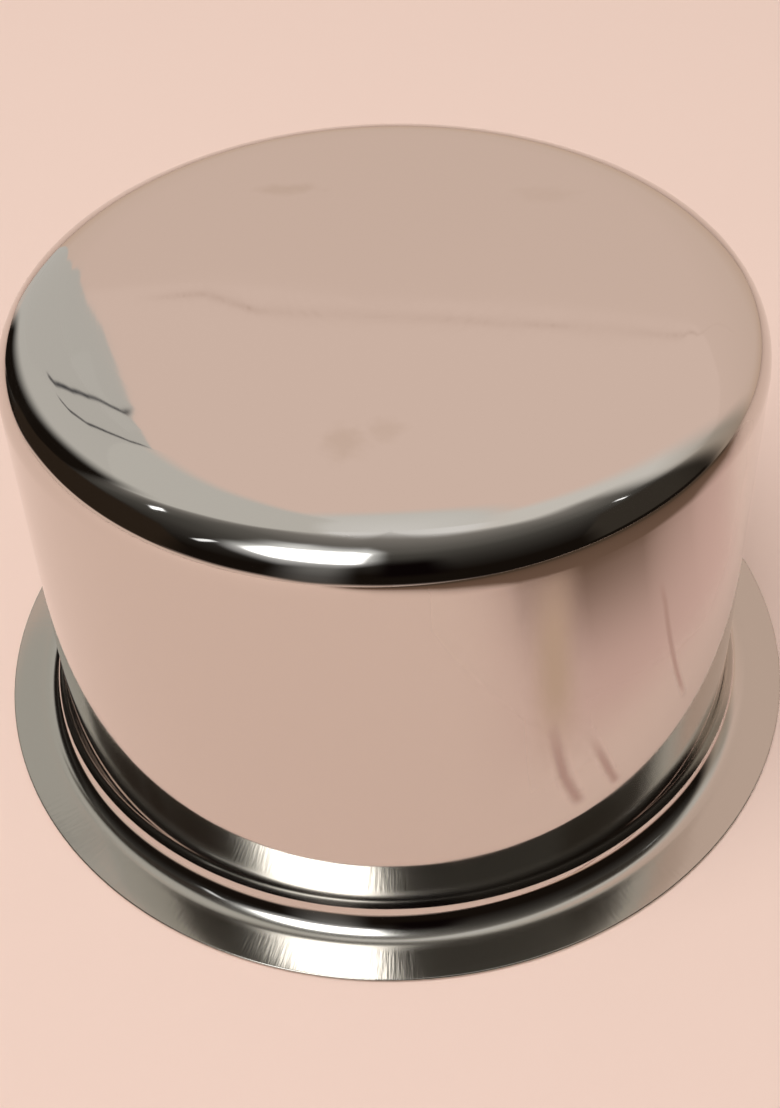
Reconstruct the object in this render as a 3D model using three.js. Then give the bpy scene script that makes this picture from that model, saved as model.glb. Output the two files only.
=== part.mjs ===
// A drawn steel stockpot, standing upside down on its flat rim as it is photographed.
// Millimetres, +Z up. The origin is the centre of the mouth, in the plane of the rim's lower face.

import * as THREE from 'three';

// Driving dimensions
const MOUTH_DIAMETER = 257; // outside of the wall, carried straight on down to the rim's plane
const POT_HEIGHT = 164;
const WALL_DRAFT_DEG = 2.6; // lean of the wall, so that pots nest
const SHEET = 1; // thickness of the steel, the same all over
const RIM_FLAT = 11.8; // width of the flat rim, from the end of the neck to the outer edge
const COLLAR_STRAIGHT = 4; // straight stretch of wall that the rim ring has above its neck

// Each bend has two arcs, one next to its flat and one next to the wall. They meet, tangent, at a tilt
// of the sheet: 0 is level like the base. Radii are on the outside of the pot.
const KNUCKLE_BASE_RADIUS = 39;
const KNUCKLE_WALL_RADIUS = 14;
const KNUCKLE_MEETING_DEG = 31;
const NECK_RIM_RADIUS = 9;
const NECK_WALL_RADIUS = 14;
const NECK_MEETING_DEG = 48;

// Fineness of the facets
const FACETS_ROUND = 96;
const ARC_STEPS = 6;

const draft = THREE.MathUtils.degToRad(WALL_DRAFT_DEG);
const LEVEL = 0;
const WALL_TILT = Math.PI / 2 - draft;
const UPSIDE_DOWN = Math.PI;

// The half section is drawn in radius (x) and height (y).
// The way that the sheet's outer face looks at a tilt: up when level, outward on the wall.
function facing(tilt) {
  return new THREE.Vector2(Math.sin(tilt), Math.cos(tilt));
}

function arc(centre, radius, from, to) {
  const points = [];
  for (let step = 0; step <= ARC_STEPS; step += 1) {
    const tilt = THREE.MathUtils.lerp(from, to, step / ARC_STEPS);
    points.push(facing(tilt).multiplyScalar(radius).add(centre));
  }
  return points;
}

// Lays out a bend between a flat at a height and the wall. A hollow bend has negative radii.
// Inside and outside share their centres, which keeps the sheet even in thickness.
function bend(flatHeight, flatRadius, wallRadius, meetingDeg) {
  const meeting = THREE.MathUtils.degToRad(meetingDeg);
  const flatCentre = new THREE.Vector2(0, flatHeight - flatRadius);
  const wallCentre = facing(meeting).multiplyScalar(flatRadius - wallRadius).add(flatCentre);
  const wallLine = MOUTH_DIAMETER / 2 - wallCentre.y * Math.tan(draft);
  const shift = wallLine - wallRadius / Math.cos(draft) - wallCentre.x;
  flatCentre.x += shift;
  wallCentre.x += shift;

  const line = (depth) => [
    ...arc(flatCentre, flatRadius - depth, LEVEL, meeting),
    ...arc(wallCentre, wallRadius - depth, meeting, WALL_TILT).slice(1),
  ];
  return { outside: line(0), inside: line(SHEET) };
}

const knuckle = bend(POT_HEIGHT, KNUCKLE_BASE_RADIUS, KNUCKLE_WALL_RADIUS, KNUCKLE_MEETING_DEG);
const neck = bend(SHEET, -NECK_RIM_RADIUS, -NECK_WALL_RADIUS, NECK_MEETING_DEG);

// The rim ring is butted to the foot of the wall, square to the sheet, so both pieces share these corners.
const upTheWall = new THREE.Vector2(-Math.sin(draft), Math.cos(draft)).multiplyScalar(COLLAR_STRAIGHT);
const seamOutside = neck.outside.at(-1).clone().add(upTheWall);
const seamInside = neck.inside.at(-1).clone().add(upTheWall);

const edgeRadius = SHEET / 2;
const edgeCentre = new THREE.Vector2(neck.outside[0].x + RIM_FLAT - edgeRadius, edgeRadius);
const dressedEdge = arc(edgeCentre, edgeRadius, UPSIDE_DOWN, LEVEL);

// Turns a half section round the pot's axis, which stands along +Z.
function turned(profile) {
  return new THREE.LatheGeometry(profile, FACETS_ROUND).rotateX(Math.PI / 2);
}

// Base, knuckle and wall: one drawn cup, polished to a mirror.
function potBody() {
  const profile = [
    new THREE.Vector2(0, POT_HEIGHT - SHEET),
    ...knuckle.inside,
    seamInside,
    seamOutside,
    ...knuckle.outside.toReversed(),
    new THREE.Vector2(0, POT_HEIGHT),
  ];
  const mirrorSteel = new THREE.MeshStandardMaterial({
    color: 0xd2cdc8,
    metalness: 1,
    roughness: 0.07,
  });
  const body = new THREE.Mesh(turned(profile), mirrorSteel);
  body.name = 'pot_body';
  return body;
}

// The ring round the mouth: a short collar, the hollow neck and the flat that the pot stands on here,
// turned on a lathe, with its edge dressed round.
function rimRing() {
  const profile = [
    seamInside,
    ...neck.inside.toReversed(),
    ...dressedEdge,
    ...neck.outside,
    seamOutside,
    seamInside,
  ];
  const turnedSteel = new THREE.MeshStandardMaterial({
    color: 0xbdb8b2,
    metalness: 1,
    roughness: 0.32,
  });
  const ring = new THREE.Mesh(turned(profile), turnedSteel);
  ring.name = 'rim_ring';
  return ring;
}

const stockpot = new THREE.Group();
stockpot.add(potBody(), rimRing());

export default stockpot;
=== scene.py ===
# %% [markdown]
# # A mirror-polished stockpot, standing upside down on its rim
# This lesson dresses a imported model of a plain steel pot. The pot is drawn from sheet, so its form is a
# section turned round an axis, and its look is almost wholly what it mirrors. So the two things that matter
# most here are an exact section and a studio that gives the steel something to reflect.
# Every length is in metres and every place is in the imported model's own frame, with +Z up.

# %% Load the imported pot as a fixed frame
import math

import bpy
from mathutils import Euler, Matrix, Vector


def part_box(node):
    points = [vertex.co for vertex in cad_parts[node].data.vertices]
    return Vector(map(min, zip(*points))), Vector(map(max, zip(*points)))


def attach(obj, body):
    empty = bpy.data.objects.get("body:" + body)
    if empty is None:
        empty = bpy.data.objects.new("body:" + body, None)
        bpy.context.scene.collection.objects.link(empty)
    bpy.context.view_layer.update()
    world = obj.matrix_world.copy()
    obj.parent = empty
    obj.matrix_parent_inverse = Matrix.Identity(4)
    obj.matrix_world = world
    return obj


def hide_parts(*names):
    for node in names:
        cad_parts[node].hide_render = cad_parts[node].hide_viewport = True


MM = 0.001

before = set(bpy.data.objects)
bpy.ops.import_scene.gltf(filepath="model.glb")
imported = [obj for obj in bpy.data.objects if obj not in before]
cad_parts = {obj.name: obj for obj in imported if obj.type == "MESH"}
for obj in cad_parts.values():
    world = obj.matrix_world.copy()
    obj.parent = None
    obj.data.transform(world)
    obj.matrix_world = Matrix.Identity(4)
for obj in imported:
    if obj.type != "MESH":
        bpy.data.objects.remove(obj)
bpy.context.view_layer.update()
print("packed nodes:", sorted(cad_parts))

# %% [markdown]
# ## Camera
# The camera comes first, because every look is judged through it. It stands half a metre from the pot, well
# above it, and looks down at the base. Close and wide, it makes the top look larger than the foot. Its place,
# pitch and roll were worked out from the pot's outline in the photograph.

# %% Set the camera
FRAME_LONG_SIDE_PX = 1108
FOCAL_PX = 1302.8
SENSOR = 36.0
CAMERA_PLACE = Vector((0.0, -348.9, 389.4)) * MM
CAMERA_PITCH = math.radians(44.73)
CAMERA_YAW = math.radians(0.094)
CAMERA_ROLL = math.radians(-2.44)

scene = bpy.context.scene
camera_data = bpy.data.cameras.new("camera")
camera_data.sensor_width = SENSOR
camera_data.lens = FOCAL_PX / FRAME_LONG_SIDE_PX * SENSOR
camera = bpy.data.objects.new("camera", camera_data)
scene.collection.objects.link(camera)
facing = Euler((math.radians(90) - CAMERA_PITCH, 0, CAMERA_YAW)).to_matrix()
rolled = Matrix.Rotation(CAMERA_ROLL, 3, "Z")
camera.matrix_world = Matrix.Translation(CAMERA_PLACE) @ (facing @ rolled).to_4x4()
scene.camera = camera
scene.view_settings.view_transform = "Standard"
print("lens in mm:", round(camera_data.lens, 2))

# %% [markdown]
# ## Sizes
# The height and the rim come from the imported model. The rest are the sizes that a press shop would write on
# the drawing: the sheet, the draft of the wall and the two bends. A bend has two arcs, one next to its flat
# and one next to the wall, which meet where the sheet has turned by the meeting angle. The flat of the rim
# rises a hair to its edge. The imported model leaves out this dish, but a mirror shows it.

# %% Take the sizes from the frame and name the rest
SHEET = 1.0 * MM
MOUTH_RADIUS = 128.5 * MM
WALL_DRAFT = math.radians(2.6)
KNUCKLE_BASE_RADIUS = 39.0 * MM
KNUCKLE_WALL_RADIUS = 14.0 * MM
KNUCKLE_MEETING = math.radians(31)
NECK_RIM_RADIUS = 9.0 * MM
NECK_WALL_RADIUS = 14.0 * MM
NECK_MEETING = math.radians(48)
COLLAR_STRAIGHT = 4.0 * MM
RIM_DISH = math.radians(2.0)
POT_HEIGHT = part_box("pot_body")[1].z
RIM_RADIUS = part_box("rim_ring")[1].x

FACETS_ROUND = 288
BEND_STEPS = 24
LONGEST_STEP = 4.0 * MM
print("height and rim radius in mm:", round(POT_HEIGHT / MM, 2), round(RIM_RADIUS / MM, 2))


# %% [markdown]
# ## Steel
# Polished steel has next to no colour of its own. What tells it from chrome is a slightly warm, slightly dark
# tone, and what tells it from a computer's mirror is wear: fine rings that the buffing wheel left round the
# axis, and faint smears from handling. Each finish below is one Principled shader, with the wear in its
# roughness and bump. The trees that shape the pieces also mark their inner faces, which are satin.


# %% Helpers for node trees
def put(tree, kind, inputs=None, **settings):
    """Adds a node, sets it up, then fills its inputs with values or links."""
    node = tree.nodes.new(kind)
    for key, value in settings.items():
        setattr(node, key, value)
    for key, value in (inputs or {}).items():
        if isinstance(value, bpy.types.NodeSocket):
            tree.links.new(value, node.inputs[key])
        else:
            node.inputs[key].default_value = value
    return node


def maths(tree, operation, *values):
    """Adds a Math node and returns its result."""
    return put(tree, "ShaderNodeMath", dict(enumerate(values)), operation=operation).outputs[0]


def spot(tree, first, second):
    """Returns a vector of two numbers."""
    return put(tree, "ShaderNodeCombineXYZ", {"X": first, "Y": second}).outputs[0]


def new_material(name):
    """Returns a material, its emptied node tree and its output node."""
    material = bpy.data.materials.new(name)
    material.use_nodes = True
    tree = material.node_tree
    tree.nodes.clear()
    output = tree.nodes.new("ShaderNodeOutputMaterial")
    return material, tree, output


def round_the_axis(tree):
    """Returns a place, its distance from the pot's axis, its height and its turn round the axis."""
    place = put(tree, "ShaderNodeTexCoord").outputs["Object"]
    parts = put(tree, "ShaderNodeSeparateXYZ", {0: place})
    x, y, z = parts.outputs
    squares = maths(tree, "ADD", maths(tree, "MULTIPLY", x, x), maths(tree, "MULTIPLY", y, y))
    across = maths(tree, "SQRT", squares)
    turn = maths(tree, "ARCTAN2", y, x)
    return place, across, z, turn


# %% Mirror steel for the cup
STEEL = (0.66, 0.625, 0.59, 1.0)
SMEARED_STEEL = (0.60, 0.56, 0.51, 1.0)
SATIN_ROUGHNESS = 0.3
RINGS_ACROSS = 900.0
RINGS_ROUND = 0.6
RING_DEPTH = 0.02 * MM
RING_ROUGHNESS_LOW = 0.03
RING_ROUGHNESS_HIGH = 0.05
SMEAR_GRAIN = 14.0
SMEAR_ROUGHNESS = 0.05
BLOTCH_GRAIN = 160.0
BLOTCH_ROUGHNESS = 0.08
# The centre and the reach of each smear on the base, in millimetres, and its strength
BASE_SMEARS = [
    ((-30, 59), (16, 6), 1.0),
    ((-12, -78), (10, 12), 0.9),
    ((0, -73), (8, 8), 0.7),
    ((57, 48), (17, 9), 0.4),
]


def satin_inside(tree, roughness):
    """Returns the roughness of a polished face, or of a satin one where the face is marked as inside."""
    inside = put(tree, "ShaderNodeAttribute", attribute_name="inside").outputs["Fac"]
    choice = {"Value": inside, "To Min": roughness, "To Max": SATIN_ROUGHNESS}
    return put(tree, "ShaderNodeMapRange", choice).outputs[0]


def base_smear(tree, place, centre, reach, strength):
    """Returns a ragged blotch on the base: at its strength in the middle, 0 beyond its reach."""
    middle = (centre[0] * MM, centre[1] * MM, POT_HEIGHT)
    spread = (reach[0] * MM, reach[1] * MM, 1.0)
    away = put(tree, "ShaderNodeVectorMath", {0: place, 1: middle}, operation="SUBTRACT").outputs[0]
    shares = put(tree, "ShaderNodeVectorMath", {0: away, 1: spread}, operation="DIVIDE").outputs[0]
    distance = put(tree, "ShaderNodeVectorMath", {0: shares}, operation="LENGTH").outputs["Value"]
    grain = {"Vector": place, "Scale": BLOTCH_GRAIN, "Detail": 4.0}
    ragged = put(tree, "ShaderNodeTexNoise", grain).outputs[0]
    edge = maths(tree, "ADD", distance, ragged)
    fade = {"Value": edge, "From Min": 0.6, "From Max": 1.4, "To Min": strength, "To Max": 0.0}
    return put(tree, "ShaderNodeMapRange", fade, interpolation_type="SMOOTHSTEP").outputs[0]


def mirror_steel():
    """Mirror polish, with the buffing wheel's rings and a few smears on the base."""
    material, tree, output = new_material("mirror_steel")
    place, across, height, turn = round_the_axis(tree)
    down_the_section = maths(tree, "SUBTRACT", across, height)
    ring_place = spot(tree, maths(tree, "MULTIPLY", down_the_section, RINGS_ACROSS),
                      maths(tree, "MULTIPLY", turn, RINGS_ROUND))
    rings = put(tree, "ShaderNodeTexNoise", {"Vector": ring_place, "Scale": 1.0, "Detail": 3.0}).outputs[0]
    smears = put(tree, "ShaderNodeTexNoise", {
        "Vector": place, "Scale": SMEAR_GRAIN, "Detail": 5.0, "Roughness": 0.62}).outputs[0]
    smear_rough = put(tree, "ShaderNodeMapRange", {
        "Value": smears, "From Min": 0.5, "From Max": 0.78, "To Min": 0.0, "To Max": SMEAR_ROUGHNESS})
    ring_rough = put(tree, "ShaderNodeMapRange", {
        "Value": rings, "From Min": 0.3, "From Max": 0.7,
        "To Min": RING_ROUGHNESS_LOW, "To Max": RING_ROUGHNESS_HIGH})
    worn = maths(tree, "ADD", ring_rough.outputs[0], smear_rough.outputs[0])
    blotch = 0.0
    for centre, reach, strength in BASE_SMEARS:
        blotch = maths(tree, "MAXIMUM", blotch, base_smear(tree, place, centre, reach, strength))
    colour = put(tree, "ShaderNodeValToRGB", {0: blotch})
    colour.color_ramp.elements[0].color = STEEL
    colour.color_ramp.elements[1].color = SMEARED_STEEL
    blotched = maths(tree, "MULTIPLY_ADD", blotch, BLOTCH_ROUGHNESS, worn)
    ring_bump = put(tree, "ShaderNodeBump", {"Strength": 0.04, "Distance": RING_DEPTH, "Height": rings})
    shader = put(tree, "ShaderNodeBsdfPrincipled", {
        "Base Color": colour.outputs[0], "Metallic": 1.0, "Roughness": satin_inside(tree, blotched),
        "Normal": ring_bump.outputs[0]})
    tree.links.new(shader.outputs[0], output.inputs["Surface"])
    return material


# %% [markdown]
# ## Rim steel
# The ring is as bright as the cup where it leaves the wall, and it grows dull down the neck, where a wheel
# reaches badly. Fine hairs cross the flat. A picture could paint them, but noise that is stretched from the
# neck to the edge stays sharp at any size.

# %% Turned steel for the rim
DULL_STARTS = 131.0 * MM
DULL_FULL = 137.5 * MM
FLAT_STARTS = 138.0 * MM
FLAT_FULL = 141.0 * MM
FLAT_STEEL = (0.50, 0.475, 0.43, 1.0)
COLLAR_ROUGHNESS = 0.05
NECK_ROUGHNESS = 0.2
FLAT_ROUGHNESS_STEP = -0.07
HAIRS_ROUND = 110.0
HAIRS_ACROSS = 90.0
HAIR_DEPTH = 0.03 * MM


def past(tree, across, starts, full):
    """Returns 0 up to one distance from the axis and 1 beyond another, with a soft step between them."""
    step = {"Value": across, "From Min": starts, "From Max": full}
    return put(tree, "ShaderNodeMapRange", step, interpolation_type="SMOOTHSTEP").outputs[0]


def turned_steel():
    """Polished like the cup at the collar and duller down the neck, with fine hairs across the flat."""
    material, tree, output = new_material("turned_steel")
    _, across, _, turn = round_the_axis(tree)
    dull = past(tree, across, DULL_STARTS, DULL_FULL)
    on_flat = past(tree, across, FLAT_STARTS, FLAT_FULL)
    hair_place = spot(tree, maths(tree, "MULTIPLY", turn, HAIRS_ROUND),
                      maths(tree, "MULTIPLY", across, HAIRS_ACROSS))
    hairs = put(tree, "ShaderNodeTexNoise", {"Vector": hair_place, "Scale": 1.0, "Detail": 2.0}).outputs[0]
    neck_rough = put(tree, "ShaderNodeMapRange", {
        "Value": dull, "To Min": COLLAR_ROUGHNESS, "To Max": NECK_ROUGHNESS}).outputs[0]
    rough = maths(tree, "MULTIPLY_ADD", on_flat, FLAT_ROUGHNESS_STEP, neck_rough)
    hairs_on_flat = maths(tree, "MULTIPLY", hairs, on_flat)
    colour = put(tree, "ShaderNodeValToRGB", {0: dull})
    colour.color_ramp.elements[0].color = STEEL
    colour.color_ramp.elements[1].color = FLAT_STEEL
    bump = put(tree, "ShaderNodeBump", {"Strength": 1.0, "Distance": HAIR_DEPTH, "Height": hairs_on_flat})
    shader = put(tree, "ShaderNodeBsdfPrincipled", {
        "Base Color": colour.outputs[0], "Metallic": 1.0, "Roughness": satin_inside(tree, rough),
        "Normal": bump.outputs[0]})
    tree.links.new(shader.outputs[0], output.inputs["Surface"])
    return material


mirror = mirror_steel()
turned = turned_steel()
print("finishes:", mirror.name, turned.name)

# %% [markdown]
# ## The turned section
# A pot is a section turned round an axis, which is a rule, so Geometry Nodes make it. The section's corners
# are worked out from the sizes, the Fillet Curve node rounds each of them with its own radius, and Curve to
# Mesh carries the section round a circle. Both pieces share the functions below and differ only in their
# corners. A place in the section is a vector of radius and height.


# %% Node trees for a turned piece
def vectors(tree, operation, *values):
    """Adds a Vector Math node and returns its result."""
    node = put(tree, "ShaderNodeVectorMath", operation=operation)
    for number, value in enumerate(values):
        socket = node.inputs["Scale"] if operation == "SCALE" and number == 1 else node.inputs[number]
        if isinstance(value, bpy.types.NodeSocket):
            tree.links.new(value, socket)
        else:
            socket.default_value = value
    return node.outputs[0]


def new_tree(name, sizes, has_finish=True):
    """Returns a geometry tree with a named input for each size, its inputs' sockets and its output node."""
    tree = bpy.data.node_groups.new(name, "GeometryNodeTree")
    for size, value in sizes.items():
        kind = "NodeSocketInt" if isinstance(value, int) else "NodeSocketFloat"
        tree.interface.new_socket(size, in_out="INPUT", socket_type=kind)
    if has_finish:
        tree.interface.new_socket("Finish", in_out="INPUT", socket_type="NodeSocketMaterial")
        tree.interface.new_socket("Mesh", in_out="OUTPUT", socket_type="NodeSocketGeometry")
    return tree, tree.nodes.new("NodeGroupInput").outputs, tree.nodes.new("NodeGroupOutput")


BEND_SIZES = {"Flat Height": 0.0, "Flat Radius": 0.0, "Wall Radius": 0.0, "Meeting": 0.0, "Mouth Radius": 0.0,
              "Draft": 0.0, "Dish": 0.0}


def bend_group():
    """A group that finds the corners of a bend from a flat to the wall. A hollow bend has negative radii."""
    tree, size, output = new_tree("Two-Radius Bend", BEND_SIZES, has_finish=False)
    for name in ("Flat Corner", "Wall Corner", "Wall End", "Flat End"):
        tree.interface.new_socket(name, in_out="OUTPUT", socket_type="NodeSocketVector")
    lean = maths(tree, "COSINE", size["Draft"])
    rise = maths(tree, "SINE", size["Draft"])
    at_meeting = spot(tree, maths(tree, "SINE", size["Meeting"]), maths(tree, "COSINE", size["Meeting"]))
    radius_step = maths(tree, "SUBTRACT", size["Flat Radius"], size["Wall Radius"])
    flat_centre = spot(tree, 0.0, maths(tree, "SUBTRACT", size["Flat Height"], size["Flat Radius"]))
    wall_centre = vectors(tree, "ADD", flat_centre, vectors(tree, "SCALE", at_meeting, radius_step))

    parts = put(tree, "ShaderNodeSeparateXYZ", {0: wall_centre}).outputs
    drop = maths(tree, "MULTIPLY", parts[1], maths(tree, "TANGENT", size["Draft"]))
    wall_line = maths(tree, "SUBTRACT", size["Mouth Radius"], drop)
    reach = maths(tree, "DIVIDE", size["Wall Radius"], lean)
    out = maths(tree, "SUBTRACT", maths(tree, "SUBTRACT", wall_line, reach), parts[0])
    shift = spot(tree, out, 0.0)

    half_turn = maths(tree, "MULTIPLY", maths(tree, "ADD", size["Meeting"], size["Dish"]), 0.5)
    half_way = maths(tree, "MULTIPLY", maths(tree, "SUBTRACT", size["Meeting"], size["Dish"]), 0.5)
    to_corner = spot(tree, maths(tree, "SINE", half_way), maths(tree, "COSINE", half_way))
    corner_reach = maths(tree, "DIVIDE", size["Flat Radius"], maths(tree, "COSINE", half_turn))
    flat_corner = vectors(tree, "ADD", flat_centre, vectors(tree, "SCALE", to_corner, corner_reach))
    at_dish = spot(tree, maths(tree, "MULTIPLY", maths(tree, "SINE", size["Dish"]), -1.0),
                   maths(tree, "COSINE", size["Dish"]))
    flat_end = vectors(tree, "ADD", flat_centre, vectors(tree, "SCALE", at_dish, size["Flat Radius"]))
    to_wall = vectors(tree, "SCALE", spot(tree, lean, rise), size["Wall Radius"])
    wall_end = vectors(tree, "ADD", wall_centre, to_wall)
    wall_turn = maths(tree, "SUBTRACT", maths(tree, "SUBTRACT", math.pi / 2, size["Draft"]), size["Meeting"])
    wall_tangent = maths(tree, "TANGENT", maths(tree, "MULTIPLY", wall_turn, 0.5))
    up_the_wall = spot(tree, maths(tree, "MULTIPLY", rise, -1.0), lean)
    past_end = maths(tree, "MULTIPLY", size["Wall Radius"], wall_tangent)
    wall_corner = vectors(tree, "ADD", wall_end, vectors(tree, "SCALE", up_the_wall, past_end))
    for number, place in enumerate((flat_corner, wall_corner, wall_end, flat_end)):
        tree.links.new(vectors(tree, "ADD", place, shift), output.inputs[number])
    return tree


two_radius_bend = bend_group()


def bend(tree, size, flat_height, flat_radius, wall_radius, meeting, depth, dish=0.0):
    """Uses the group for a line that lies at a depth below the outside of the sheet."""
    lean = maths(tree, "COSINE", size["Draft"])
    inputs = {
        "Flat Height": maths(tree, "SUBTRACT", flat_height, depth),
        "Flat Radius": maths(tree, "SUBTRACT", flat_radius, depth),
        "Wall Radius": maths(tree, "SUBTRACT", wall_radius, depth),
        "Mouth Radius": maths(tree, "SUBTRACT", size["Mouth Radius"], maths(tree, "DIVIDE", depth, lean)),
        "Meeting": meeting,
        "Draft": size["Draft"],
        "Dish": dish,
    }
    return put(tree, "GeometryNodeGroup", inputs, node_tree=two_radius_bend).outputs


def neck_lines(tree, size):
    """Returns the neck's bend outside and inside, and the seam's corner on each."""
    up_the_wall = spot(tree, maths(tree, "MULTIPLY", maths(tree, "SINE", size["Draft"]), -1.0),
                       maths(tree, "COSINE", size["Draft"]))
    collar = vectors(tree, "SCALE", up_the_wall, size["Collar"])
    hollow_rim = maths(tree, "MULTIPLY", size["Neck Rim Radius"], -1.0)
    hollow_wall = maths(tree, "MULTIPLY", size["Neck Wall Radius"], -1.0)
    lines = []
    for depth in (0.0, size["Sheet"]):
        line = bend(tree, size, size["Sheet"], hollow_rim, hollow_wall, size["Neck Meeting"], depth,
                    size["Dish"])
        lines.append((line, vectors(tree, "ADD", line["Wall End"], collar)))
    return lines


WELD = 0.001 * MM
CRISP_ANGLE = math.radians(50)


def turn_section(tree, corners, bends, closed, size):
    """Rounds the corners of a section and turns it round the axis, with its inner faces marked."""
    index = put(tree, "GeometryNodeInputIndex").outputs[0]
    corner = put(tree, "GeometryNodeIndexSwitch", {"Index": index}, data_type="VECTOR")
    radius = put(tree, "GeometryNodeIndexSwitch", {"Index": index}, data_type="FLOAT")
    for number, (place, bend_radius) in enumerate(zip(corners, bends)):
        if number > 1:
            corner.index_switch_items.new()
            radius.index_switch_items.new()
        tree.links.new(place, corner.inputs[str(number)])
        if isinstance(bend_radius, bpy.types.NodeSocket):
            tree.links.new(bend_radius, radius.inputs[str(number)])
    to_circle = spot(tree, maths(tree, "MULTIPLY", size["Mouth Radius"], -1.0), 0.0)
    place = vectors(tree, "MULTIPLY_ADD", corner.outputs[0], (1.0, -1.0, 1.0), to_circle)
    points = put(tree, "GeometryNodePoints", {"Count": len(corners), "Position": place})
    line = put(tree, "GeometryNodePointsToCurves", {"Points": points.outputs[0]})
    straight = put(tree, "GeometryNodeCurveSplineType", {"Curve": line.outputs[0]}, spline_type="POLY")
    looped = put(tree, "GeometryNodeSetSplineCyclic", {"Geometry": straight.outputs[0], "Cyclic": closed})
    rounded = put(tree, "GeometryNodeFilletCurve", {"Curve": looped.outputs[0], "Count": size["Bend Steps"],
                                                    "Radius": radius.outputs[0]}, mode="POLY")
    here = put(tree, "GeometryNodeInputPosition").outputs[0]
    next_point = put(tree, "GeometryNodeOffsetPointInCurve", {"Point Index": index, "Offset": 1})
    there = put(tree, "GeometryNodeFieldAtIndex", {"Index": next_point.outputs["Point Index"], "Value": here},
                data_type="FLOAT_VECTOR").outputs[0]
    gap = put(tree, "ShaderNodeVectorMath", {0: here, 1: there}, operation="DISTANCE").outputs["Value"]
    cuts = maths(tree, "FLOOR", maths(tree, "DIVIDE", gap, size["Longest Step"]))
    fine = put(tree, "GeometryNodeSubdivideCurve", {"Curve": rounded.outputs[0], "Cuts": cuts})
    circle = put(tree, "GeometryNodeCurvePrimitiveCircle", {"Resolution": size["Facets"],
                                                            "Radius": size["Mouth Radius"]}, mode="RADIUS")
    shell = put(tree, "GeometryNodeCurveToMesh", {
        "Curve": circle.outputs[0], "Profile Curve": fine.outputs[0]})
    whole = put(tree, "GeometryNodeMergeByDistance", {"Geometry": shell.outputs[0], "Distance": WELD})
    smooth = put(tree, "GeometryNodeSetShadeSmooth", {"Geometry": whole.outputs[0]})
    angle = put(tree, "GeometryNodeInputMeshEdgeAngle").outputs["Unsigned Angle"]
    corner_edges = put(tree, "FunctionNodeCompare", {0: angle, 1: CRISP_ANGLE}, operation="GREATER_THAN")
    crisp = put(tree, "GeometryNodeSetShadeSmooth", {
        "Geometry": smooth.outputs[0], "Selection": corner_edges.outputs[0],
        "Shade Smooth": False}, domain="EDGE")
    normal = put(tree, "GeometryNodeInputNormal").outputs[0]
    _, _, looks_up = put(tree, "ShaderNodeSeparateXYZ", {0: normal}).outputs
    inside = maths(tree, "LESS_THAN", looks_up, 0.0)
    marked = put(tree, "GeometryNodeStoreNamedAttribute", {
        "Geometry": crisp.outputs[0], "Name": "inside", "Value": inside}, data_type="FLOAT", domain="FACE")
    return marked.outputs[0]


def finish_tree(tree, mesh, finish, output):
    """Realizes the mesh and gives it its finish, as the last two nodes of a tree."""
    real = put(tree, "GeometryNodeRealizeInstances", {"Geometry": mesh})
    dressed = put(tree, "GeometryNodeSetMaterial", {"Geometry": real.outputs[0], "Material": finish})
    tree.links.new(dressed.outputs[0], output.inputs[0])


def cup_tree(sizes):
    """Base, knuckle and wall of the drawn cup, as one sheet of even thickness."""
    tree, size, output = new_tree("Drawn Cup", sizes)
    (_, outer_seam), (_, inner_seam) = neck_lines(tree, size)
    base_radius, wall_radius = size["Knuckle Base Radius"], size["Knuckle Wall Radius"]
    outer = bend(tree, size, size["Height"], base_radius, wall_radius, size["Knuckle Meeting"], 0.0)
    inner = bend(tree, size, size["Height"], base_radius, wall_radius, size["Knuckle Meeting"], size["Sheet"])
    inner_top = maths(tree, "SUBTRACT", size["Height"], size["Sheet"])
    corners = [spot(tree, 0.0, size["Height"]), outer["Flat Corner"], outer["Wall Corner"], outer_seam,
               inner_seam, inner["Wall Corner"], inner["Flat Corner"], spot(tree, 0.0, inner_top)]
    bends = [0.0, base_radius, wall_radius, 0.0, 0.0, maths(tree, "SUBTRACT", wall_radius, size["Sheet"]),
             maths(tree, "SUBTRACT", base_radius, size["Sheet"]), 0.0]
    finish_tree(tree, turn_section(tree, corners, bends, False, size), size["Finish"], output)
    return tree


def rim_corner(tree, size, flat_end):
    """Returns the place where the dished flat reaches the rim's edge."""
    radius, height, _ = put(tree, "ShaderNodeSeparateXYZ", {0: flat_end}).outputs
    width = maths(tree, "SUBTRACT", size["Rim Radius"], radius)
    rise = maths(tree, "MULTIPLY", width, maths(tree, "TANGENT", size["Dish"]))
    return spot(tree, size["Rim Radius"], maths(tree, "ADD", height, rise))


# The edge's two fillets are a little under half the sheet, so that they don't meet.
EDGE_SHARE = 0.499


def ring_tree(sizes):
    """Collar, neck, flat and dressed edge of the rim, as one ring."""
    tree, size, output = new_tree("Rim Ring", sizes)
    (outer, outer_seam), (inner, inner_seam) = neck_lines(tree, size)
    rim_radius, wall_radius = size["Neck Rim Radius"], size["Neck Wall Radius"]
    inner_rim_radius = maths(tree, "ADD", rim_radius, size["Sheet"])
    inner_wall_radius = maths(tree, "ADD", wall_radius, size["Sheet"])
    edge_radius = maths(tree, "MULTIPLY", size["Sheet"], EDGE_SHARE)
    outer_edge = rim_corner(tree, size, outer["Flat End"])
    inner_edge = rim_corner(tree, size, inner["Flat End"])
    corners = [outer_seam, outer["Wall Corner"], outer["Flat Corner"], outer_edge,
               inner_edge, inner["Flat Corner"], inner["Wall Corner"], inner_seam]
    bends = [0.0, wall_radius, rim_radius, edge_radius,
             edge_radius, inner_rim_radius, inner_wall_radius, 0.0]
    finish_tree(tree, turn_section(tree, corners, bends, True, size), size["Finish"], output)
    return tree


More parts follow.
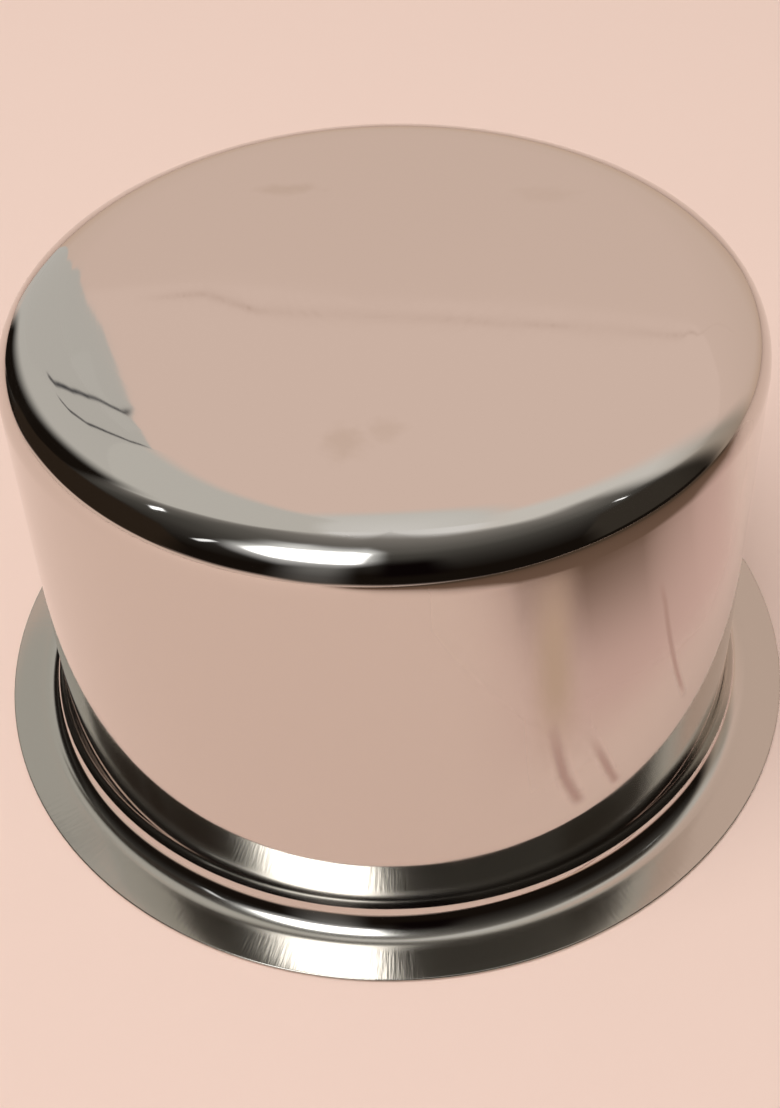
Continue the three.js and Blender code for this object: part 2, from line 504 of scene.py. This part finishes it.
# %% [markdown]
# ## The two pieces
# The cup and the ring meet in a butt joint on the wall, dressed flush. Each tree runs once, with its sizes as
# named inputs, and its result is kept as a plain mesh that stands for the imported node.


# %% Make the two pieces
def make_piece(name, tree, sizes, finish):
    """Runs a tree once and keeps its result as a plain mesh at the origin."""
    piece = bpy.data.objects.new(name, bpy.data.meshes.new(name))
    scene.collection.objects.link(piece)
    nodes = piece.modifiers.new("nodes", "NODES")
    nodes.node_group = tree
    for item in tree.interface.items_tree:
        if item.in_out == "INPUT":
            nodes[item.identifier] = finish if item.name == "Finish" else sizes[item.name]
    graph = bpy.context.evaluated_depsgraph_get()
    mesh = bpy.data.meshes.new_from_object(piece.evaluated_get(graph))
    piece.modifiers.clear()
    piece.data = mesh
    print(name, "faces:", len(mesh.polygons))
    return piece


shared_sizes = {"Mouth Radius": MOUTH_RADIUS, "Draft": WALL_DRAFT, "Sheet": SHEET, "Collar": COLLAR_STRAIGHT,
                "Neck Rim Radius": NECK_RIM_RADIUS, "Neck Wall Radius": NECK_WALL_RADIUS,
                "Neck Meeting": NECK_MEETING, "Dish": RIM_DISH, "Longest Step": LONGEST_STEP,
                "Bend Steps": BEND_STEPS, "Facets": FACETS_ROUND}
cup_sizes = {"Height": POT_HEIGHT, "Knuckle Base Radius": KNUCKLE_BASE_RADIUS,
             "Knuckle Wall Radius": KNUCKLE_WALL_RADIUS, "Knuckle Meeting": KNUCKLE_MEETING, **shared_sizes}
ring_sizes = {"Rim Radius": RIM_RADIUS, **shared_sizes}
cup = make_piece("polished_cup", cup_tree(cup_sizes), cup_sizes, mirror)
ring = make_piece("rim_collar", ring_tree(ring_sizes), ring_sizes, turned)
for piece, node, slot in ((cup, "pot_body", "mirror_steel"), (ring, "rim_ring", "turned_steel")):
    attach(piece, "root")
    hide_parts(node)

# %% [markdown]
# ## Studio
# A mirror shows its surroundings, so the studio is built for the reflections: a pale peach floor and
# backdrop, a grey ceiling and grey screens at the sides, a tall dark flag in front that draws the black line
# round the knuckle and the neck, and one bright softbox. Flag and screens stay out of the camera's sight and
# light nothing but steel.

# %% Floor and backdrop
FLOOR_COLOUR = (0.93, 0.70, 0.605, 1.0)
BACKDROP_COLOUR = (0.893, 0.692, 0.602, 1.0)
AMBIENT_COLOUR = (0.36, 0.34, 0.32, 1.0)
FLOOR_HALF = 6.0


def stage_floor():
    """A wide, matt floor that catches the pot's shadow."""
    mesh = bpy.data.meshes.new("floor")
    corners = [(-FLOOR_HALF, -FLOOR_HALF, 0), (FLOOR_HALF, -FLOOR_HALF, 0),
               (FLOOR_HALF, FLOOR_HALF, 0), (-FLOOR_HALF, FLOOR_HALF, 0)]
    mesh.from_pydata(corners, [], [(0, 1, 2, 3)])
    floor = bpy.data.objects.new("floor", mesh)
    scene.collection.objects.link(floor)
    material, tree, output = new_material("peach_floor")
    paint = put(tree, "ShaderNodeBsdfDiffuse", {"Color": FLOOR_COLOUR})
    tree.links.new(paint.outputs[0], output.inputs["Surface"])
    mesh.materials.append(material)
    return floor


def stage_world():
    """A backdrop that the camera and the steel see, and a weaker, greyer light for the floor."""
    world = bpy.data.worlds.new("backdrop")
    world.use_nodes = True
    tree = world.node_tree
    tree.nodes.clear()
    rays = put(tree, "ShaderNodeLightPath").outputs
    seen = maths(tree, "MAXIMUM", rays["Is Camera Ray"], rays["Is Glossy Ray"])
    ambient = put(tree, "ShaderNodeBackground", {"Color": AMBIENT_COLOUR})
    backdrop = put(tree, "ShaderNodeBackground", {"Color": BACKDROP_COLOUR})
    mixed = put(tree, "ShaderNodeMixShader", {0: seen, 1: ambient.outputs[0], 2: backdrop.outputs[0]})
    put(tree, "ShaderNodeOutputWorld", {"Surface": mixed.outputs[0]})
    return world


floor = stage_floor()
scene.world = stage_world()
print("stage:", floor.name, "and", scene.world.name)

# %% [markdown]
# ## Cards
# A card could be a plain square, but round steel bends a straight edge. So each card is a grid that is laid
# on part of a sphere, a drum or the floor, between two lines that were chosen by what the steel should show.
# It glows by itself, so that no lamp changes its tone. A nearer card covers those behind it, so each layer
# has its own distance. Most cards are far off. A few hang close to the pot, where the base and the rim see
# them in different directions.


# %% Helpers for cards
CARD_GRID = 48
CARD_CENTRE = Vector((0, 0, 0.13))
studio_cards = []


def direction(azimuth, elevation):
    """Returns the way to a place round the pot: azimuth 0 is behind it, 90 is to the right."""
    a = math.radians(azimuth)
    e = math.radians(elevation)
    return Vector((math.sin(a) * math.cos(e), math.cos(a) * math.cos(e), math.sin(e)))


def along(line, share):
    """Returns the values at a share of the way along a line of stations."""
    place = share * (len(line) - 1)
    first = min(int(place), len(line) - 2)
    return Vector(line[first]).lerp(Vector(line[first + 1]), place - first)


def sky_patch(lower, upper, distance):
    """A patch of a sphere round the pot, between two lines of azimuths and elevations."""
    def place_at(u, v):
        return CARD_CENTRE + direction(*along(lower, u).lerp(along(upper, u), v)) * distance
    return place_at


def floor_patch(line, far, height):
    """A patch just above the floor. Its line gives azimuths, where it starts and the radius of its middle."""
    def place_at(u, v):
        azimuth, start, middle = along(line, u)
        radius = start + (middle - start) * v * 2 if v < 0.5 else middle + (far - middle) * (v * 2 - 1)
        place = direction(azimuth, 0) * radius
        place.z = height
        return place
    return place_at


def drum_patch(lower, upper, radius):
    """A patch of a drum round the pot, between two lines of azimuths and heights."""
    def place_at(u, v):
        azimuth, height = along(lower, u).lerp(along(upper, u), v)
        place = direction(azimuth, 0) * radius
        place.z = height
        return place
    return place_at


def drum_strip(line, width, radius):
    """A thin strip on a drum, along a line of azimuths and heights."""
    half = width / 2
    turn = math.degrees(half / radius)
    lower = [(azimuth + turn, height - half) for azimuth, height in line]
    upper = [(azimuth - turn, height + half) for azimuth, height in line]
    return drum_patch(lower, upper, radius)


def floor_strip(line, width, height):
    """A strip just above the floor, along a line of azimuths and radii. Its width is in degrees."""
    def place_at(u, v):
        azimuth, radius = along(line, u)
        place = direction(azimuth + (v - 0.5) * width, 0) * radius
        place.z = height
        return place
    return place_at


def sky_strip(line, width, distance):
    """A thin strip along a line of azimuths and elevations."""
    half = width / 2
    lower = [(azimuth + half, elevation - half) for azimuth, elevation in line]
    upper = [(azimuth - half, elevation + half) for azimuth, elevation in line]
    return sky_patch(lower, upper, distance)


def card_material(name, tones, strength, fades):
    """A glowing card with tones from its lower to its upper line, which fades out towards its edges."""
    material, tree, output = new_material(name)
    spots = put(tree, "ShaderNodeUVMap", uv_map="card").outputs[0]
    u, v, _ = put(tree, "ShaderNodeSeparateXYZ", {0: spots}).outputs
    solid = 1.0
    from_edges = (u, maths(tree, "SUBTRACT", 1.0, u), v, maths(tree, "SUBTRACT", 1.0, v))
    for from_edge, fade in zip(from_edges, fades):
        if fade:
            soft = put(tree, "ShaderNodeMapRange", {"Value": from_edge, "From Max": fade},
                       interpolation_type="SMOOTHSTEP").outputs[0]
            solid = maths(tree, "MULTIPLY", solid, soft)
    tone = put(tree, "ShaderNodeValToRGB", {0: v})
    ramp = tone.color_ramp.elements
    while len(ramp) < len(tones):
        ramp.new(1.0)
    while len(ramp) > len(tones):
        ramp.remove(ramp[-1])
    for element, (share, colour) in zip(ramp, tones):
        element.position = share
        element.color = (*colour, 1.0)
    glow = put(tree, "ShaderNodeEmission", {"Color": tone.outputs[0], "Strength": strength})
    clear = put(tree, "ShaderNodeBsdfTransparent")
    mixed = put(tree, "ShaderNodeMixShader", {0: solid, 1: clear.outputs[0], 2: glow.outputs[0]})
    tree.links.new(mixed.outputs[0], output.inputs["Surface"])
    return material


def studio_card(name, place_at, tones, fades=(0, 0, 0, 0), strength=1.0):
    """A card that only the steel sees. It fades by shares at its first, last, lower and upper edge."""
    places = []
    spots = []
    for row in range(CARD_GRID + 1):
        for column in range(CARD_GRID + 1):
            u = column / CARD_GRID
            v = row / CARD_GRID
            places.append(place_at(u, v))
            spots.append((u, v))
    faces = []
    for row in range(CARD_GRID):
        for column in range(CARD_GRID):
            corner = row * (CARD_GRID + 1) + column
            faces.append((corner, corner + 1, corner + CARD_GRID + 2, corner + CARD_GRID + 1))
    mesh = bpy.data.meshes.new(name)
    mesh.from_pydata(places, [], faces)
    layer = mesh.uv_layers.new(name="card")
    for loop in mesh.loops:
        layer.data[loop.index].uv = spots[loop.vertex_index]
    mesh.materials.append(card_material(name, tones, strength, fades))
    card = bpy.data.objects.new(name, mesh)
    scene.collection.objects.link(card)
    card.visible_camera = False
    card.visible_shadow = False
    card.visible_diffuse = False
    studio_cards.append(name)


# %% [markdown]
# ## Screens and backdrop
# The base looks up and back, so it shows the backdrop, with a crease in it whose shade is painted as a darker
# rose strip, and the edge of a grey screen at the left, with two dark seams. One large dome could carry all
# this as a painted picture, but separate cards can be moved one at a time.

# %% Ceiling, screens and low backdrop
CEILING_AWAY = 14.0
BACKDROP_AWAY = 13.5
UPPER_SCREEN_AWAY = 13.1
SCREEN_AWAY = 13.0
LOW_LEFT_AWAY = 12.9
CREASE_AWAY = 12.8
NEAR_SCREEN_AWAY = 0.7
NEAR_DRUM = 0.26
SEAM_DRUM = 0.25
CREASE_WIDTH_DEG = 0.14
UPPER_SEAM_WIDTH = 8.5 * MM
LOWER_SEAM_WIDTH = 7.5 * MM

WHITE = (1.0, 1.0, 1.0)
CEILING_GREY = (0.71, 0.70, 0.655)
SCREEN_GREY = (0.67, 0.655, 0.61)
NEAR_GREY = (0.64, 0.625, 0.585)
SHADED_GREY = (0.62, 0.605, 0.565)
SEAM_GREY = (0.06, 0.06, 0.065)
RIGHT_GREY = (0.80, 0.78, 0.735)
RIGHT_TONES = [(0, (0.42, 0.33, 0.26)), (0.35, (0.46, 0.41, 0.35)), (0.6, RIGHT_GREY), (1, RIGHT_GREY)]
BACKDROP_TONES = [(0, (0.66, 0.48, 0.37)), (0.4, (0.78, 0.60, 0.505)), (1, (0.85, 0.655, 0.565))]
LOW_LEFT_PEACH = (0.80, 0.60, 0.505)
CREASE_SHADE_ROSE = (0.56, 0.40, 0.32)

studio_card("ceiling", sky_patch([(-90, 70), (90, 70)], [(-90, 110), (90, 110)], CEILING_AWAY),
            [(0, CEILING_GREY), (1, WHITE)], (0, 0, 0.18, 0.18))

left_edge = [(-26.4, -1), (-25.2, 17.1), (-21.9, 25.1), (-15.8, 31.2), (-14.8, 33.7), (-14.2, 37.4),
             (-16.9, 40.4), (-20, 43), (-25.3, 47)]
left_far = [(-115, -1), (-115, 20), (-115, 36), (-115, 47)]
studio_card("left_screen", sky_patch(left_edge, left_far, SCREEN_AWAY), [(0, SHADED_GREY), (1, SCREEN_GREY)])
upper_edge = [(-20, 46.5), (-25, 54), (-28, 60), (-30, 70), (-30, 80)]
upper_far = [(-115, 46.5), (-130, 66), (-130, 84)]
studio_card("upper_left_screen", sky_patch(upper_edge, upper_far, UPPER_SCREEN_AWAY),
            [(0, SCREEN_GREY)], (0, 0.1, 0.1, 0))
near_low = [(-24.8, 36.6), (-36, 36.6)]
near_high = [(-26.3, 44.8), (-36, 47)]
studio_card("near_screen", sky_patch(near_low, near_high, NEAR_SCREEN_AWAY), [(0, NEAR_GREY)])
low_screen = [(-44, 0.165), (-52, 0.17), (-58, 0.2), (-66, 0.25)]
high_screen = [(-44, 0.46), (-52, 0.46), (-58, 0.44), (-66, 0.4)]
studio_card("low_near_screen", drum_patch(low_screen, high_screen, NEAR_DRUM), [(0, SHADED_GREY)],
            (0.1, 0.15, 0.04, 0.05))

low_left_top = [(-30, 4), (-90, 9), (-180, 12)]
studio_card("low_left_backdrop", sky_patch([(-30, -2), (-180, -2)], low_left_top, LOW_LEFT_AWAY),
            [(0, LOW_LEFT_PEACH)], (0.1, 0, 0, 0.4))
right_foot = [(64, -2), (82, -2), (108, -2)]
right_top = [(60, 80), (90, 82), (130, 82)]
studio_card("right_screen", sky_patch(right_foot, right_top, SCREEN_AWAY), RIGHT_TONES, (0.3, 0, 0, 0.12))
backdrop_foot = [(-32, -2), (20, -2), (80, -2)]
backdrop_top = [(-32, 31), (-9, 32.4), (-1, 33.8), (19, 34.4), (40, 34), (80, 30)]
studio_card("low_backdrop", sky_patch(backdrop_foot, backdrop_top, BACKDROP_AWAY), BACKDROP_TONES)

# The crease's shade, painted as a thin, darker rose strip on the backdrop.
crease = [(-13.4, 32.7), (-9.3, 32.9), (-8, 33.4), (-6.7, 33.9), (-4.4, 34.2), (1, 34.65), (6.4, 34.9),
          (11.8, 34.95), (26.4, 34.9), (46, 22.3)]
studio_card("crease", sky_strip(crease, CREASE_WIDTH_DEG, CREASE_AWAY), [(0, CREASE_SHADE_ROSE)],
            (0.1, 0.05, 0.3, 0.3))
upper_seam = [(-63.1, 0.279), (-62.6, 0.3), (-56.2, 0.334), (-49, 0.357), (-39.4, 0.372), (-33.1, 0.377)]
lower_seam = [(-66, 0.301), (-67.1, 0.329), (-65.1, 0.364), (-58.9, 0.402), (-52.3, 0.434), (-44.8, 0.455)]
studio_card("upper_seam", drum_strip(upper_seam, UPPER_SEAM_WIDTH, SEAM_DRUM), [(0, SEAM_GREY)],
            (0.1, 0.05, 0.5, 0.5))
studio_card("lower_seam", drum_strip(lower_seam, LOWER_SEAM_WIDTH, SEAM_DRUM), [(0, SEAM_GREY)],
            (0.1, 0.1, 0.5, 0.5))
print("cards up to now:", len(studio_cards))

# %% [markdown]
# ## Dark flag and painted floor shade
# Without something dark in front, the knuckle and the neck would be as pale as the wall, and the pot would
# lose its outline. One tall flag darkens them, and smaller ones close to the pot darken both sides of the
# foot. On the floor at the right lies painted shade, which the wall mirrors so that it isn't one even tone: a
# redder patch, a brown painted shadow beyond it and the painted shade of a few folds.

# %% Dark flag and painted floor shadow
FLAG_AWAY = 12.0
INNER_FLAG_AWAY = 11.9
NEAR_FOOT = 0.162
ROSE_HEIGHT = 0.2 * MM
SHADOW_HEIGHT = 0.5 * MM
BROAD_FOLD_HEIGHT = 0.6 * MM
BROAD_FOLD_WIDTH_DEG = 15.0
FOLD_HEIGHT = 0.8 * MM
ROSE_FAR = 1.5

BLACK = (0.010, 0.007, 0.005)
CORE_BLACK = (0.004, 0.002, 0.002)
NEAR_LEFT_BROWN = (0.03, 0.02, 0.013)
NEAR_RIGHT_BROWN = (0.045, 0.038, 0.03)
# Painted shade on the floor at the right: a darker, redder patch
ROSE_SHADE = (0.74, 0.50, 0.43)
# Painted shade along the folds of the floor cloth
FOLD_SHADE_ROSE = (0.58, 0.37, 0.31)
BROAD_FOLD_SHADE_TAN = (0.66, 0.46, 0.34)
# Tones of the painted shadow on the floor, from its near edge outwards
DARK_SHADOW_TONES = [(0, (0.20, 0.125, 0.088)), (0.5, (0.19, 0.115, 0.08)), (0.56, (0.15, 0.09, 0.06)),
               (0.62, (0.09, 0.06, 0.04))]
FLAG_TONES = [(0.28, BLACK), (0.42, (0.024, 0.021, 0.018)), (0.56, (0.046, 0.042, 0.037)),
              (0.70, (0.078, 0.074, 0.066)), (0.82, (0.145, 0.138, 0.125)), (0.92, (0.27, 0.255, 0.235))]

flag_low = [(-46, -6), (-56, -4), (-68, -2), (-80, 1), (-92, 3), (-108, 2), (-126, 1), (-146, 1), (-160, 0),
            (-172, -2), (-186, -4), (-204, -7), (-222, -8), (-238, -8), (-250, -7), (-262, -6), (-272, -5),
            (-280, -4)]
flag_high = [(-48, 8), (-58, 18), (-70, 36), (-82, 64), (-94, 80), (-108, 85), (-126, 88), (-146, 90),
             (-160, 92), (-172, 92), (-186, 92), (-204, 91), (-222, 88), (-238, 84), (-250, 79), (-262, 70),
             (-272, 65), (-282, 58)]
studio_card("front_flag", sky_patch(flag_low, flag_high, FLAG_AWAY), FLAG_TONES, (0.03, 0.08, 0.08, 0.1))
left_low = [(-35, -6), (-44, -4), (-51, 2), (-58, 10), (-65, 17), (-72, 25), (-80, 30)]
left_high = [(-36.5, 7.5), (-44, 18), (-50.5, 26), (-57.5, 35), (-64, 45), (-71, 53.5), (-79, 59)]
studio_card("left_flag", sky_patch(left_low, left_high, INNER_FLAG_AWAY), [(0, BLACK)], (0.1, 0.15, 0, 0.42))
near_left_top = [(-76, 0.195), (-88, 0.23), (-98, 0.29), (-110, 0.33), (-122, 0.32), (-140, 0.2)]
studio_card("near_left_flag", drum_patch([(-76, NEAR_FOOT), (-140, NEAR_FOOT)], near_left_top, NEAR_DRUM),
            [(0, NEAR_LEFT_BROWN)], (0.12, 0.15, 0.04, 0.2))
near_right_top = [(142, 0.2), (128, 0.33), (116, 0.33), (106, 0.3), (97, 0.25)]
studio_card("near_right_flag", drum_patch([(142, NEAR_FOOT), (97, NEAR_FOOT)], near_right_top, NEAR_DRUM),
            [(0, NEAR_RIGHT_BROWN)], (0.15, 0.5, 0.04, 0.2))
studio_card("flag_core", sky_patch([(160, 14), (187, 14)], [(160, 62), (187, 58)], INNER_FLAG_AWAY),
            [(0, CORE_BLACK)], (0.4, 0.25, 0.25, 0.4))

# Painted shade: a darker, redder patch of floor at the right, under the painted shadow.
rose_shade_line = [(76, 0.16, 0.6), (125, 0.16, 0.6), (172, 0.16, 0.6)]
studio_card("rose_floor_shade", floor_patch(rose_shade_line, ROSE_FAR, ROSE_HEIGHT), [(0, ROSE_SHADE)],
            (0.2, 0.45, 0.05, 0.4))
# Painted shadow: a brown patch on the floor at the right, darkest where the shadow is deepest.
shadow_line = [(72, 0.25, 2.5), (88, 0.19, 0.85), (104, 0.18, 0.42), (120, 0.19, 0.30), (136, 0.20, 0.29),
              (152, 0.20, 0.37), (168, 0.25, 0.75), (184, 0.32, 1.6), (200, 0.9, 2.6)]
studio_card("dark_floor_shadow", floor_patch(shadow_line, FLOOR_HALF, SHADOW_HEIGHT), DARK_SHADOW_TONES, (0.1, 0.1, 0.5, 0))

# Each fold's painted shade: its name, its azimuths and radii, its width in degrees and how far it fades in
FOLD_SHADES = [
    ("right_fold_shade", [(115.8, 0.24), (115, 0.22), (115.2, 0.2), (115.6, 0.155)], 2.4, 0.3),
    ("front_fold_shade", [(147.8, 0.204), (147.9, 0.19), (147.8, 0.17), (146.2, 0.153)], 4.2, 0.6),
    ("middle_fold_shade", [(140.4, 0.185), (139, 0.168), (138, 0.152)], 3.4, 0.6),
]
for name, line, width_deg, fade_in in FOLD_SHADES:
    fold = floor_strip(line, width_deg, FOLD_HEIGHT)
    studio_card(name, fold, [(0, FOLD_SHADE_ROSE)], (fade_in, 0.1, 0.5, 0.5))
# The painted shade of one broad, soft fold.
broad_fold_shade = floor_strip([(143, 0.31), (145.8, 0.22), (147.6, 0.17)], BROAD_FOLD_WIDTH_DEG, BROAD_FOLD_HEIGHT)
studio_card("broad_fold_shade", broad_fold_shade, [(0, BROAD_FOLD_SHADE_TAN)], (0.4, 0.5, 0.5, 0.5))
print("cards up to now:", len(studio_cards))

# %% [markdown]
# ## Softbox
# The bright mark on the knuckle is a softbox in front of the pot, to the left. A weaker glow round it fades
# into the flag, as light does that spills past a lamp. Three small lamps make the sparks beside it.

# %% Softbox and its glow
LOW_GLOW_AWAY = 11.8
GLOW_AWAY = 11.7
SOFTBOX_AWAY = 11.5
MIDDLE_LAMP_AWAY = 11.4
SOFTBOX_STRENGTH = 6.0
LAMP_FADES = (0.3, 0.3, 0.3, 0.3)

SOFTBOX_WHITE = (0.97, 0.99, 1.0)
LAMP_WHITE = (0.95, 0.98, 1.0)
GLOW_WHITE = (0.95, 0.98, 0.97)
GLOW_TONES = [(0, (0.1, 0.1, 0.1)), (0.2, (0.4, 0.4, 0.4)), (0.4, GLOW_WHITE), (0.85, GLOW_WHITE),
              (1, (0.3, 0.3, 0.3))]
LOW_GLOW_TONES = [(0, (0.08, 0.07, 0.06)), (0.45, (0.11, 0.105, 0.1)), (1, (0.24, 0.24, 0.23))]

glow_low = [(-180, 46), (-164, 32), (-148, 29), (-132, 37), (-116, 48)]
glow_high = [(-180, 74), (-164, 78), (-148, 77), (-130, 75), (-109, 69)]
studio_card("softbox_glow", sky_patch(glow_low, glow_high, GLOW_AWAY), GLOW_TONES, (0.2, 0.25, 0.2, 0.1))
studio_card("low_glow", sky_patch([(-172, -2), (-146, -2)], [(-171, 42), (-146, 42)], LOW_GLOW_AWAY),
            LOW_GLOW_TONES, (0.4, 0.5, 0.2, 0.1))
softbox_low = [(-172, 45), (-158, 43), (-142, 43), (-125, 50)]
softbox_high = [(-172, 71), (-158, 73), (-142, 71), (-121, 65)]
studio_card("softbox", sky_patch(softbox_low, softbox_high, SOFTBOX_AWAY), [(0, SOFTBOX_WHITE)],
            (0.15, 0.25, 0.25, 0.2), SOFTBOX_STRENGTH)
left_lamp = sky_patch([(-87.5, 50.5), (-84, 50.5)], [(-87.5, 54.5), (-84, 54.5)], SOFTBOX_AWAY)
middle_lamp = sky_patch([(-122, 38), (-118, 38)], [(-122, 50), (-118, 50)], MIDDLE_LAMP_AWAY)
right_lamp = sky_patch([(96.5, 45), (99, 45)], [(96, 50), (98.5, 50)], SOFTBOX_AWAY)
small_lamps = [
    ("left_lamp", left_lamp, 3.0),
    ("middle_lamp", middle_lamp, 1.5),
    ("right_lamp", right_lamp, 2.0),
]
for name, lamp_patch, strength in small_lamps:
    studio_card(name, lamp_patch, [(0, LAMP_WHITE)], LAMP_FADES, strength)
print("cards in all:", len(studio_cards))

# %% [markdown]
# ## Light
# One large soft lamp stands where the softbox is seen and lights the floor to a plain level, so that a colour
# renders about as it is written. It is kept out of the reflections, because the softbox is already there.


# %% Lamp
KEY_DISTANCE = 6.0
KEY_SIZE = 5.3
KEY_WATTS = 262.0


def soft_lamp(name, place, size, watts):
    """A round area lamp that points at the pot and isn't seen itself."""
    data = bpy.data.lights.new(name, "AREA")
    data.shape = "DISK"
    data.size = size
    data.energy = watts
    lamp = bpy.data.objects.new(name, data)
    lamp.location = place
    lamp.rotation_euler = (-place).to_track_quat("-Z", "Y").to_euler()
    lamp.visible_glossy = False
    lamp.visible_camera = False
    scene.collection.objects.link(lamp)
    return lamp


key_lamp = soft_lamp("key_lamp", direction(-140, 68) * KEY_DISTANCE, KEY_SIZE, KEY_WATTS)
print("lamp:", key_lamp.name, "with watts:", key_lamp.data.energy)
